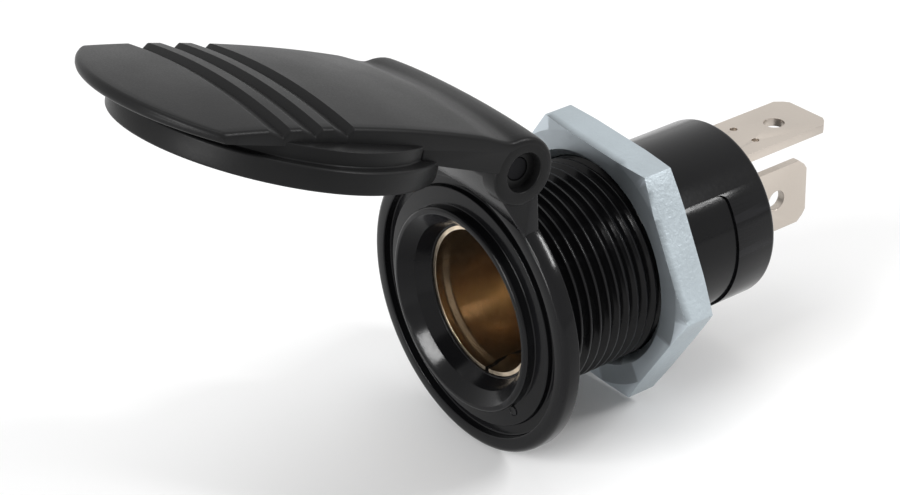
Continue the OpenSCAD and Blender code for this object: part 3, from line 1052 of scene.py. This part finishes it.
        # A hair inside the barrel and the panel's side, so that no faces coincide.
        outer, end = self.boss_r - 0.005, self.half - 0.005
        work = Workpiece()
        for side in (-1, 1):
            boss = Workpiece()
            boss.turn([
                (self.bore_r, self.ear, 0.0), (outer, self.ear, 0.0), (outer, end, 0.28),
                (self.hole_r, end, 0.12), (self.hole_r, self.half - self.hole_deep, 0.0),
                (self.bore_r, self.half - self.hole_deep, 0.0),
            ], Axis.BARREL, steps=72)
            boss.place(Matrix.Rotation(-side * math.pi / 2, 4, "Z"))
            work.add_mesh(boss)
        return work

    def cheeks(self) -> Workpiece:
        """The two side cheeks between the barrel and the skirt.

        Returns:
            The mesh in the lid's own frame.
        """
        work = Workpiece()
        for side in (-1, 1):
            ends = sorted((side * self.ear, side * (self.half - 0.01)))
            faces = work.prism([
                (1.9, -0.15, 0.0), (self.boss_r, -0.17, 0.0), (8.9, 0.36, 0.0), (10.5, 0.45, 0.0),
                (10.5, 1.9, 0.0), (1.9, 1.9, 0.0),
            ], *ends)
            work.soften(faces, self.cheek_edge)
        return work

    def dome(self) -> Workpiece:
        """The stepped round skirt under the top.

        Returns:
            The mesh in the lid's own frame.
        """
        size = self.skirt
        work = Workpiece()
        work.turn([
            (0.0, size["core_top"], 0.0), (size["core"], size["core_top"], 0.15),
            (size["core"], size["ceiling"], 0.15), (size["inner"], size["ceiling"], 0.2),
            (size["inner"], size["low"], 0.15), (size["outer"], size["low"], 0.2),
            (size["outer"], size["top"], 0.22), (size["step"], size["top"], 0.12),
            (size["step"], self.low + 0.3, 0.1), (0.0, self.low + 0.5, 0.0),
        ], Axis.LID, steps=160)
        work.place(Matrix.Translation((0, self.centre_u, 0)))
        return work

    def build(self) -> None:
        """Make the lid from its panel, bosses, cheeks and skirt."""
        work = Workpiece()
        for part in (self.panel(), self.bosses(), self.cheeks(), self.dome()):
            work.add_mesh(part)
        work.place(self.frame())
        self.dress(work.finish("lid_moulding"), Finishes.LID, "lid")


@dataclass
class Pin(Assembly):
    """The hinge pin, which stays with the socket."""

    effects: Effects
    edge: float = 0.15

    def build(self) -> None:
        """Make the pin."""
        self.soften_solids(Softened("hinge_pin", "pin_hinge", Finishes.PIN, self.edge))


@dataclass(frozen=True)
class Lamp:
    """One soft lamp that looks at a point. Its lengths are metres and its roll is degrees."""

    name: str
    place: Place
    size: Point
    power: float
    roll: float = 0.0
    aim: Place = (0.0, 0.0, 0.0)

    def build(self) -> None:
        """Add the lamp."""
        data = bpy.data.lights.new(self.name, "AREA")
        data.shape = "RECTANGLE"
        data.size, data.size_y = self.size
        data.energy = self.power
        lamp = bpy.data.objects.new(self.name, data)
        way = Vector(self.aim) - Vector(self.place)
        facing = way.to_track_quat("-Z", "Y").to_matrix().to_4x4()
        roll = Matrix.Rotation(math.radians(self.roll), 4, "Z")
        lamp.matrix_world = Matrix.Translation(self.place) @ facing @ roll
        bpy.context.collection.objects.link(lamp)


@dataclass
class Studio:
    """Camera, lamps, pale floor and white surroundings.

    The eye and the floor's sizes are millimetres.
    """

    lens: float = 96.232
    eye: Place = (137.800, -103.757, 101.555)
    right: Place = (0.604158, 0.796248, -0.031334)
    upward: Place = (-0.372066, 0.316644, 0.872527)
    back: Place = (0.704670, -0.515486, 0.487560)
    floor_z: float = -13.05
    floor_half: float = 1500.0
    floor_grey: float = 0.93
    fill: float = 0.5
    lamps: tuple[Lamp, ...] = (
        Lamp("lamp_top", (-0.05, 0.02, 0.45), (0.3, 0.3), 0.55),
        Lamp("lamp_front", (0.064, -0.381, 0.23), (0.22, 0.03), 1.1, roll=-37.0),
        Lamp("lamp_rear", (0.215, 0.278, 0.28), (0.16, 0.035), 0.9, roll=50.0),
        Lamp("lamp_low", (0.045, -0.45, 0.05), (0.2, 0.07), 0.65),
    )

    def camera(self) -> None:
        """Set up the camera where the photograph was taken from."""
        data = bpy.data.cameras.new("camera")
        data.lens = self.lens
        data.sensor_width = 36.0
        data.clip_start = 0.01
        camera = bpy.data.objects.new("camera", data)
        turned = Matrix((self.right, self.upward, self.back)).transposed().to_4x4()
        camera.matrix_world = Matrix.Translation(Vector(self.eye) * MM) @ turned
        bpy.context.collection.objects.link(camera)
        bpy.context.scene.camera = camera

    def _white_where_seen(self, tree: bpy.types.NodeTree, strength: float) -> bpy.types.NodeSocket:
        """Strength 1 for camera, glossy and transmission rays, and less for light on the object.

        Args:
            tree: The node tree.
            strength: Strength for all other rays.

        Returns:
            The strength's socket.
        """
        path = tree.nodes.new("ShaderNodeLightPath")
        total = None
        for name in ("Is Camera Ray", "Is Glossy Ray", "Is Transmission Ray"):
            if total is None:
                total = path.outputs[name]
                continue
            node = tree.nodes.new("ShaderNodeMath")
            node.operation = "MAXIMUM"
            tree.links.new(total, node.inputs[0])
            tree.links.new(path.outputs[name], node.inputs[1])
            total = node.outputs[0]
        spread = tree.nodes.new("ShaderNodeMapRange")
        spread.inputs["To Min"].default_value = strength
        spread.inputs["To Max"].default_value = 1.0
        tree.links.new(total, spread.inputs["Value"])
        return spread.outputs["Result"]

    def surroundings(self) -> None:
        """White world and a pale floor that keeps the shadow."""
        world = bpy.data.worlds.new("white_room")
        world.use_nodes = True
        tree = world.node_tree
        background = tree.nodes["Background"]
        background.inputs["Color"].default_value = (1, 1, 1, 1)
        tree.links.new(self._white_where_seen(tree, self.fill), background.inputs["Strength"])
        bpy.context.scene.world = world
        work = Workpiece()
        bmesh.ops.create_grid(work.bm, x_segments=1, y_segments=1, size=self.floor_half)
        work.place(Matrix.Translation((0, 0, self.floor_z)))
        floor = work.finish("floor")
        mat = bpy.data.materials.new("pale_floor")
        mat.use_nodes = True
        shader = mat.node_tree.nodes["Principled BSDF"]
        shader.inputs["Base Color"].default_value = (*(self.floor_grey,) * 3, 1)
        shader.inputs["Roughness"].default_value = 0.6
        shader.inputs["Specular IOR Level"].default_value = 0.1
        floor.data.materials.append(mat)

    def build(self) -> None:
        """Set up the whole studio."""
        self.camera()
        self.surroundings()
        for lamp in self.lamps:
            lamp.build()
        bpy.context.scene.view_settings.view_transform = "Standard"


def main() -> None:
    """Build the socket and its studio, and report each piece."""
    logging.basicConfig(level=logging.INFO, format="%(name)s %(message)s")
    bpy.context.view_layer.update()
    effects = Effects()
    Studio().build()
    for kind in (Barrel, Sleeve, Rear, Nut, Lid, Pin):
        kind(effects).build()


if __name__ == "__main__":
    main()
